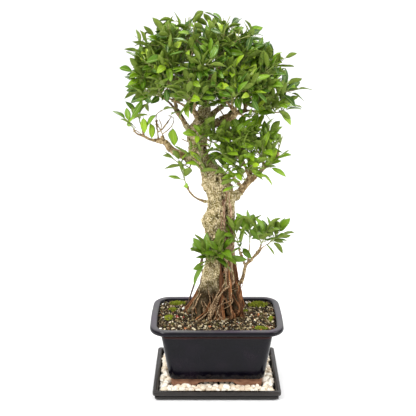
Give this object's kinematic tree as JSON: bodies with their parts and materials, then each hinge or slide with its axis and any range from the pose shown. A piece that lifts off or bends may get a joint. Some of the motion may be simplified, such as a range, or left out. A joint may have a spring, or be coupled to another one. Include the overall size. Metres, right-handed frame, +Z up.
{
  "type": "potted fig bonsai tree",
  "caption": "Small-leaved fig bonsai with a fluted trunk and domed leafy crown, planted in a glazed rectangular footed pot that stands on a pebble-filled drip tray.",
  "frame": {"origin": "centre of the drip tray's flat underside", "axes": "+Z up along the tree's height, +X to the right along the tray's and the pot's long sides, -Y to the front"},
  "size_m": [0.3565, 0.2436, 0.7063],
  "materials": {
    "tray_glaze": "satin dark brown glaze",
    "pebble_stone": "matt cream and ivory pebbles",
    "pot_glaze": "gloss blue-black glaze over brown clay, feet left bare",
    "screen_plastic": "coarse black netting",
    "potting_mix": "loose mineral grains, bark and lava",
    "moss_green": "soft green moss",
    "fig_bark": "rough pale bark",
    "root_bark": "thin brown root bark",
    "leaf_green": "waxy leathery leaf with a soft gloss"
  },
  "bodies": {
    "root": {"aerial_root": "root_bark", "drain_screen_left": "screen_plastic", "drain_screen_right": "screen_plastic", "drip_tray": "tray_glaze", "limb_crown_back_left": "fig_bark", "limb_crown_back_right": "fig_bark", "limb_crown_front_left": "fig_bark", "limb_crown_front_right": "fig_bark", "limb_crown_left": "fig_bark", "limb_crown_right": "fig_bark", "limb_crown_top": "fig_bark", "limb_left": "fig_bark", "limb_lower_right": "fig_bark", "moss_back_left": "moss_green", "moss_back_right": "moss_green", "moss_front_left": "moss_green", "moss_front_right": "moss_green", "moss_left": "moss_green", "moss_right": "moss_green", "pot": "pot_glaze", "shoot_crown_01": "leaf_green", "shoot_crown_02": "leaf_green", "shoot_crown_03": "leaf_green", "shoot_crown_04": "leaf_green", "shoot_crown_05": "leaf_green", "shoot_crown_06": "leaf_green", "shoot_crown_07": "leaf_green", "shoot_crown_08": "leaf_green", "shoot_crown_09": "leaf_green", "shoot_crown_10": "leaf_green", "shoot_crown_11": "leaf_green", "shoot_crown_12": "leaf_green", "shoot_crown_13": "leaf_green", "shoot_crown_14": "leaf_green", "shoot_crown_15": "leaf_green", "shoot_crown_16": "leaf_green", "shoot_crown_17": "leaf_green", "shoot_crown_18": "leaf_green", "shoot_crown_19": "leaf_green", "shoot_crown_20": "leaf_green", "shoot_crown_21": "leaf_green", "shoot_left_1": "leaf_green", "shoot_left_2": "leaf_green", "shoot_low_centre_1": "leaf_green", "shoot_low_centre_2": "leaf_green", "shoot_low_right_1": "leaf_green", "shoot_low_right_2": "leaf_green", "shoot_low_right_3": "leaf_green", "shoot_low_right_4": "leaf_green", "shoot_lower_left": "leaf_green", "shoot_lower_right_1": "leaf_green", "shoot_lower_right_2": "leaf_green", "shoot_lower_right_3": "leaf_green", "shoot_lower_right_4": "leaf_green", "shoot_lower_right_5": "leaf_green", "soil": "potting_mix", "stem_low_right": "fig_bark", "tray_pebbles": "pebble_stone", "trunk": "fig_bark", "twig_lower_left": "fig_bark"}
  },
  "joints": []
}
